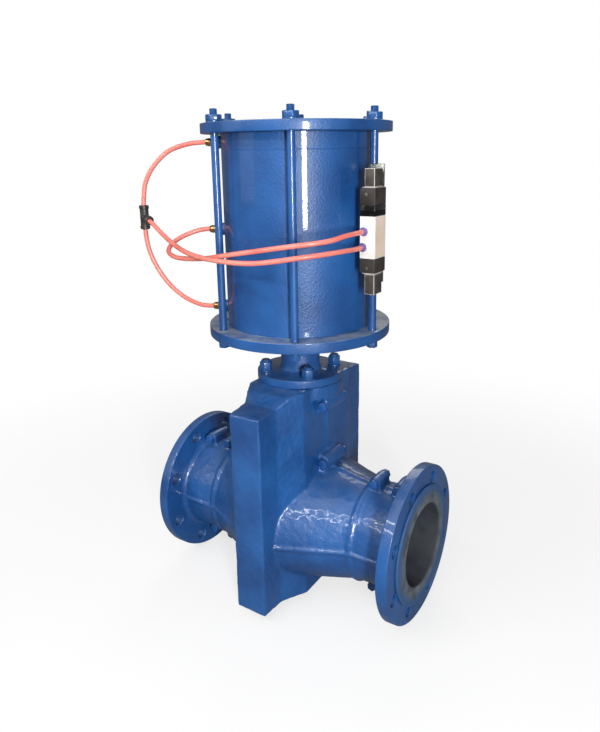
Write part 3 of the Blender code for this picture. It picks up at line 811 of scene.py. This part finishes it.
def makeRods():
    c = cylinder
    low, high = c["rodEnds"]
    r = c["rod"]
    for k, x, y in rodPlaces():
        profile = [(0, low), (r - 0.9, low), (r, low + 0.9), (r, 722)] + threadProfile(r, 724, high - 1)
        profile += [(r - 1.2, high), (0, high)]
        tie = fused([spun(profile, 40), hexagon(9.5, low, low + 13, 1.0, 0.5 * k)])
        tie.data.transform(Matrix.Translation((x, y, 0)))
        makePiece(tie, "tieRod%d" % k, "housing", rodEnamel, ["tie_rod_%d" % k])
        start = c["top"][1] + 0.3
        washer = spun([(r + 0.3, start), (13.0, start), (13.0, start + 2), (r + 0.3, start + 2)], 48)
        nut = fused([washer, hexagon(c["nut"], start + 1.8, start + 12, 1.5, 0.9 * k)])
        combine(nut, [rod((0, 0, start - 4), (0, 0, start + 20), r + 0.3, 40)], "DIFFERENCE")
        nut.data.transform(Matrix.Translation((x, y, 0)))
        makePiece(nut, "tieRodNut%d" % k, "housing", rodEnamel, ["tie_rod_nut_%d" % k])


makePlates()
makeBarrel()
makeRods()
print("cylinder assembled")


# bolts that clamp the body halves

bodyBolt = {"head": 9.2, "headHeight": 8.0, "shank": 5.0, "nut": 9.0, "nutHeight": 7.0}


def clampBolt(x, z, reach):
    # hex head on the near side, washer and nut on the far side
    b = bodyBolt
    near, far = -reach - 0.3, reach + 0.3
    bolt = fused([
        spun([(0, near - 1), (b["shank"], near - 1), (b["shank"], far + 10), (b["shank"] - 1, far + 11.5),
              (0, far + 11.5)], 32),
        hexagon(b["head"], near - b["headHeight"], near - 0.6, 1.0, 0.3 + x * 0.01),
        spun([(4, near - 0.9), (9.8, near - 0.9), (9.8, near), (4, near)], 40),
        spun([(4, far), (9.8, far), (9.8, far + 1.5), (4, far + 1.5)], 40),
        hexagon(b["nut"], far + 1.3, far + 1.3 + b["nutHeight"], 1.0, 0.7)])
    bolt.data.transform(Matrix.Translation((x, 0, z)) @ Matrix.Rotation(-math.pi / 2, 4, "X"))
    return bolt


def makeBodyBolts():
    places = [(x, 104, 20) for x in (-213, -167, 167, 213)]
    places += [(side * body["chestLug"], z, 32) for side in (-1, 1) for z in body["chestLugs"]]
    for k, (x, z, reach) in enumerate(places):
        makePiece(clampBolt(x, z, reach), "bodyBolt%d" % (k + 1), "housing", rodEnamel,
                  ["body_bolt_%d" % (k + 1)])
    for k, x in enumerate((-213, -167, 167, 213)):
        makePiece(clampBolt(x, -104, 20), "bodyBolt%d" % (k + 9), "housing", rodEnamel)


makeBodyBolts()
print("body bolted")


# pinch gear inside the body and the cylinder

gear = {"noseGap": 0.5, "barHigh": 25.5, "barHalf": 18.0, "lean": 7.5, "noseHalf": 10.0,
        "upperReach": 128.0, "lowerReach": 158.0, "pullRod": 146.0,
        "crosshead": (16.0, 158.0, 124.0, 150.0),
        "innerStem": 9.0, "outerStem": 16.0, "piston": 124.2, "pistonThick": 32.0, "lowerPiston": 421.0,
        "upperPiston": 655.0, "groove": 116.0}


def pinchBar(up, reach):
    g = gear
    nose = up * (sleeve["outside"] + g["noseGap"])
    back = nose + up * g["barHigh"]
    shoulder = nose + up * g["lean"]
    outline = [(-g["barHalf"], back), (g["barHalf"], back), (g["barHalf"], shoulder), (g["noseHalf"], nose),
               (-g["noseHalf"], nose), (-g["barHalf"], shoulder)]
    return looseObject(roundEdges(prism(outline, "Y", -reach, reach), 2.2, 3, 20))


def pullHoles(low, high):
    return joined([rod((0, y, low), (0, y, high), 8.3) for y in (-gear["pullRod"], gear["pullRod"])])


def makeGear():
    g = gear
    bar = pinchBar(1, g["upperReach"])
    makePiece(bar, "upperPinchBar", "upper_gear", greyIron, ["upper_pinch_bar"])
    bar = combine(pinchBar(-1, g["lowerReach"]), [pullHoles(-120, -70)], "DIFFERENCE")
    makePiece(bar, "lowerPinchBar", "lower_gear", greyIron, ["lower_pinch_bar"])
    x, y, low, high = g["crosshead"]
    cross = looseObject(roundedBox((-x, -y, low), (x, y, high), 2.5, 3))
    holes = joined([pullHoles(110, 165), rod((0, 0, 110), (0, 0, 165), g["innerStem"] + 0.5)])
    combine(cross, [holes], "DIFFERENCE")
    makePiece(cross, "crosshead", "lower_gear", greyIron, ["crosshead"])
    for name, y in (("Near", -g["pullRod"]), ("Far", g["pullRod"])):
        profile = [(0, -111), (11, -111), (11.5, -110.5), (11.5, -108.4), (8, -108.4), (8, 146)]
        profile += threadProfile(8, 147, 157) + [(6.8, 158), (0, 158)]
        pull = fused([spun(profile, 48), hexagon(13, 150.3, 157.2, 1.2, 0.2)])
        pull.data.transform(Matrix.Translation((0, y, 0)))
        makePiece(pull, "pullRod" + name, "lower_gear", groundSteel,
                  ["pull_rod_" + name.lower()])
    inner, outer = g["innerStem"], g["outerStem"]
    tube = [(inner + 0.5, 150.3), (outer, 150.3), (outer, 420.7), (inner + 0.5, 420.7)]
    stem = spun(eased(tube, 0.8), 64)
    makePiece(stem, "outerStem", "lower_gear", groundSteel, ["outer_stem"])
    low, high = 108.3, g["upperPiston"] - 0.3
    stem = rod((0, 0, low), (0, 0, high), inner, 48, 0.8)
    makePiece(stem, "innerStem", "upper_gear", groundSteel, ["inner_stem"])
    for level, low, hole, rides in (("lower", g["lowerPiston"], inner + 0.5, "lower_gear"),
                                    ("upper", g["upperPiston"], 0, "upper_gear")):
        high, mid, r = low + g["pistonThick"], low + g["pistonThick"] / 2, g["piston"]
        profile = [(hole, low), (r, low), (r, mid - 6), (g["groove"], mid - 6), (g["groove"], mid + 6),
                   (r, mid + 6), (r, high), (hole, high)]
        disc = spun(eased(profile, 0.8, 2, 50), 144)
        makePiece(disc, level + "Piston", rides, turnedAlloy, [level + "_piston"])
        ring = spun([(116.3, mid - 5.7), (123.6, mid - 5.7), (124.4, mid - 3.5), (124.4, mid - 1.5),
                     (123.4, mid), (124.4, mid + 1.5), (124.4, mid + 3.5), (123.6, mid + 5.7),
                     (116.3, mid + 5.7)], 144)
        makePiece(ring, level + "PistonSeal", rides, nitrile, [level + "_piston_seal"])


makeGear()
print("pinch gear fitted")


# solenoid valve on its bracket

solenoid = {"low": (149.5, -50.0), "high": (176.0, -11.0), "body": (513.0, 580.0), "band": 597.6,
            "adapterTop": 624.0, "adapterLow": 490.0,
            "upperCoil": ((157.5, -50.0, 625.6), (175.0, -22.0, 654.0)), "upperSeam": (624.1, 625.5),
            "lowerCoil": ((158.5, -50.0, 455.0), (176.0, -22.0, 488.6)), "lowerSeam": (488.7, 489.9),
            "ports": ((157.0, 556.0), (155.0, 531.0)), "screws": ((161.3, 613.8), (162.9, 497.5)),
            "wornFace": 60e-6}


def screwHead(x, z, radius=2.6):
    # a cross-slotted cap on the near face
    front = solenoid["low"][1]
    cap = looseObject(rod((x, front + 0.3, z), (x, front - 1.3, z), radius, 24, 0.5))
    slots = [box((x - radius * 0.7, front - 2, z - 0.35), (x + radius * 0.7, front - 0.7, z + 0.35)),
             box((x - 0.35, front - 2, z - radius * 0.7), (x + 0.35, front - 0.7, z + radius * 0.7))]
    return combine(cap, slots, "DIFFERENCE")


def wornEdges(thing, worn):
    # the faces that a bevel made on the long edges get the worn finish
    thing.data.materials.append(worn)
    for face in thing.data.polygons:
        if face.area < solenoid["wornFace"] and max(abs(c) for c in face.normal) < 0.98:
            face.material_index = 1


def makeSolenoid():
    s = solenoid
    (x0, y0), (x1, y1) = s["low"], s["high"]
    low, high = s["body"]
    block = looseObject(roundedBox((x0, y0, low), (x1, y1, high), 0.9, 3))
    bores = joined([rod((x, y0 - 1, z), (x, y0 + 6, z), 5.2) for x, z in s["ports"]])
    combine(block, [bores], "DIFFERENCE")
    makePiece(block, "valveBody", "housing", whiteLacquer, ["valve_body"])
    label = roundedBox((x1 - 0.1, y0 + 2.5, low + 2), (x1 + 0.25, y1 - 1.5, high - 1.5), 0.1, 1)
    makePiece(label, "valveLabel", "housing", paperLabel)
    band = roundedBox((x0, y0, high + 0.3), (x1, y1, s["band"]), 0.8, 3)
    makePiece(band, "upperAdapterBand", "housing", glossBlack, ["upper_adapter"])
    upper = roundedBox((x0, y0, s["band"] + 0.1), (x1, y1, s["adapterTop"]), 0.9, 3)
    makePiece(upper, "upperAdapter", "housing", blackNylon, ["upper_adapter"])
    lower = roundedBox((x0, y0, s["adapterLow"]), (x1, y1, low - 0.3), 0.9, 3)
    makePiece(lower, "lowerAdapter", "housing", blackNylon, ["lower_adapter"])
    for name in ("upper", "lower"):
        (lo, hi), seam = s[name + "Coil"], s[name + "Seam"]
        coil = makePiece(roundedBox(lo, hi, 1.1, 2), name + "Coil", "housing", coilResin,
                         [name + "_coil"])
        wornEdges(coil, paleResin)
        plate = roundedBox((lo[0] - 4, lo[1] + 0.3, seam[0]), (hi[0] + 0.4, hi[1] + 4, seam[1]), 0.3, 2)
        makePiece(plate, name + "CoilPlate", "housing", paleResin)
    for name, (x, z) in zip(("upperScrew", "lowerScrew"), s["screws"]):
        makePiece(screwHead(x, z), name, "housing", zincSteel)


def makeBracket():
    # flat strip behind the valve, with two clips round a tie rod
    r, ring = cylinder["rod"] + 0.3, 10.2
    plate = looseObject(roundedBox((149, -10.7, 470), (172, -8.2, 660), 0.6, 2))
    for low in (470, 646):
        profile = eased([(r, low), (ring, low), (ring, low + 14), (r, low + 14)], 0.6)
        combine(plate, [spun(profile, 40, zAxis, (cylinder["rodCircle"], 0, 0))], "UNION")
    makePiece(plate, "valveBracket", "housing", zincSteel, ["valve_bracket"])


def makeCollars():
    front, hose = solenoid["low"][1] - 0.3, hoseLook["radius"] + 0.4
    for name, (x, z) in zip(("Upper", "Lower"), solenoid["ports"]):
        profile = [(hose, 0), (7.0, 0), (7.2, 1.0), (6.6, 2.6), (5.6, 3.4), (5.4, 5.6), (5.0, 6.2),
                   (hose, 6.2)]
        collar = spun(eased(profile, 0.25, 2, 50), 48, -yAxis, (x, front, z))
        makePiece(collar, "portCollar" + name, "housing", purpleAcetal,
                  ["port_collar_" + name.lower()])


def makeFittings():
    for name, z in zip(("Top", "Middle", "Bottom"), hoseLook["portHeights"]):
        profile = [(3.0, 136.3), (6.5, 136.3), (6.5, 145.0), (6.8, 148.0), (6.8, 153.0), (6.2, 154.0),
                   (6.2, 156.0), (5.6, 157.0), (4.4, 157.0), (4.4, 145.0), (3.0, 145.0)]
        fitting = looseObject(spun(eased(profile, 0.3, 2, 50), 48))
        nut = looseObject(hexagon(8.5, 136.3, 147.0, 0.8))
        combine(nut, [rod((0, 0, 130), (0, 0, 150), 4.6)], "DIFFERENCE")
        combine(fitting, [nut], "UNION")
        turn = zAxis.rotation_difference(portWay).to_matrix().to_4x4()
        fitting.data.transform(Matrix.Translation((0, 0, z)) @ turn)
        makePiece(fitting, "portFitting" + name, "housing", turnedBrass,
                  ["port_fitting_" + name.lower()])


def makeTee():
    # a push-in tee: three barrels with release rings
    arm = [(0, -2), (7.6, -2), (7.6, 14.5), (8.6, 15.5), (8.6, 19.5), (7.4, 21.0), (0, 21.0)]
    ways = (zAxis, -zAxis, teeBranch)
    shell = fused([spun(arm, 48, way, teePlace) for way in ways])
    tools = [spun([(0, 9), (4.4, 9), (4.4, 23), (0, 23)], 40, way, teePlace) for way in ways]
    combine(shell, tools, "DIFFERENCE")
    return makePiece(shell, "hoseTee", "housing", blackNylon, ["hose_tee"])


makeSolenoid()
makeBracket()
makeCollars()
makeFittings()
tee = makeTee()
print("solenoid valve mounted")


# hose lengths, far ends and extra parts, listed; the function below reads them but sets nothing

hoseFacts = {"hoseMiddle": (0.54, "object", []), "hoseBranch": (0.5, "fitting", [tee]),
             "hoseTop": (0.2, "object", []), "hoseBottom": (0.225, "object", [])}


def declareHoses():
    for name, (length, far, extras) in hoseFacts.items():
        start = Vector(hoseRoutes[name][0]) * mm
        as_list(extras)


declareHoses()


# floor and light

stage = {"floor": -0.1435, "half": 8.0, "sky": 0.17, "near": 0.5, "far": 1.5, "glow": 0.7}


def makeStage():
    bm = bmesh.new()
    bmesh.ops.create_grid(bm, x_segments=2, y_segments=2, size=stage["half"])
    bmesh.ops.translate(bm, vec=(0, 0, stage["floor"]), verts=bm.verts[:])
    floor = looseObject(bm, "floor")
    # matt studio paper, which glows far off so that it has no horizon
    paper, tree, shader, place = newFinish("studioPaper", {"Roughness": 0.95, "Specular IOR Level": 0.1})
    ray = addNode(tree, "LightPath").outputs["Is Camera Ray"]
    tree.links.new(blendColour(tree, ray, "8C8C8C", "FAFAFA"), shader.inputs["Base Color"])
    far = addNode(tree, "VectorMath", {"operation": "LENGTH"}, {0: place}).outputs["Value"]
    glow = addNode(tree, "Emission", {"Strength": 1.0, "Color": (1, 1, 1, 1)})
    fade = {"interpolation_type": "SMOOTHSTEP", 1: stage["near"], 2: stage["far"], 3: stage["glow"], 4: 1.0}
    share = addNode(tree, "MapRange", fade, {0: far}).outputs[0]
    mixed = {0: times(tree, share, ray), 1: shader.outputs[0], 2: glow.outputs[0]}
    both = addNode(tree, "MixShader", {}, mixed)
    tree.links.new(both.outputs[0], tree.nodes["Material Output"].inputs["Surface"])
    floor.data.materials.append(paper)
    world = bpy.data.worlds.new("sky")
    world.use_nodes = True
    bpy.context.scene.world = world
    tree = world.node_tree
    ray = addNode(tree, "LightPath").outputs["Is Camera Ray"]
    shade = addNode(tree, "MapRange", {3: stage["sky"], 4: 1.0}, {0: ray}).outputs[0]
    tree.links.new(shade, tree.nodes["Background"].inputs["Strength"])
    tree.nodes["Background"].inputs["Color"].default_value = (1, 1, 1, 1)


def softLight(name, azimuth, elevation, distance, width, height, power, aim=(0, 0, 0.35)):
    a, e = math.radians(azimuth), math.radians(elevation)
    back = Vector((math.sin(a) * math.cos(e), -math.cos(a) * math.cos(e), math.sin(e)))
    data = bpy.data.lights.new(name, "AREA")
    data.shape = "RECTANGLE"
    data.size, data.size_y = width, height
    data.energy = power
    made = bpy.data.objects.new(name, data)
    made.location = Vector(aim) + back * distance
    made.rotation_mode = "QUATERNION"
    made.rotation_quaternion = back.to_track_quat("Z", "Y")
    bpy.context.scene.collection.objects.link(made)


makeStage()
softLight("barrelStrip", 43.5, 0, 2.4, 0.26, 0.7, 50, (0, 0, 0.66))
softLight("rowBox", -8, 34, 2.2, 2.4, 0.07, 13, (0, 0, 0.1))
softLight("upperRowBox", -8, 46, 2.2, 2.4, 0.07, 13, (0, 0, 0.1))
softLight("skyLight", 10, 75, 2.4, 2.0, 2.0, 12)
softLight("fillLight", -45, 15, 2.8, 1.4, 1.4, 4)
softLight("backLight", 200, 35, 2.8, 1.4, 1.4, 16)
bpy.context.scene.view_settings.view_transform = "Standard"
print("lit")
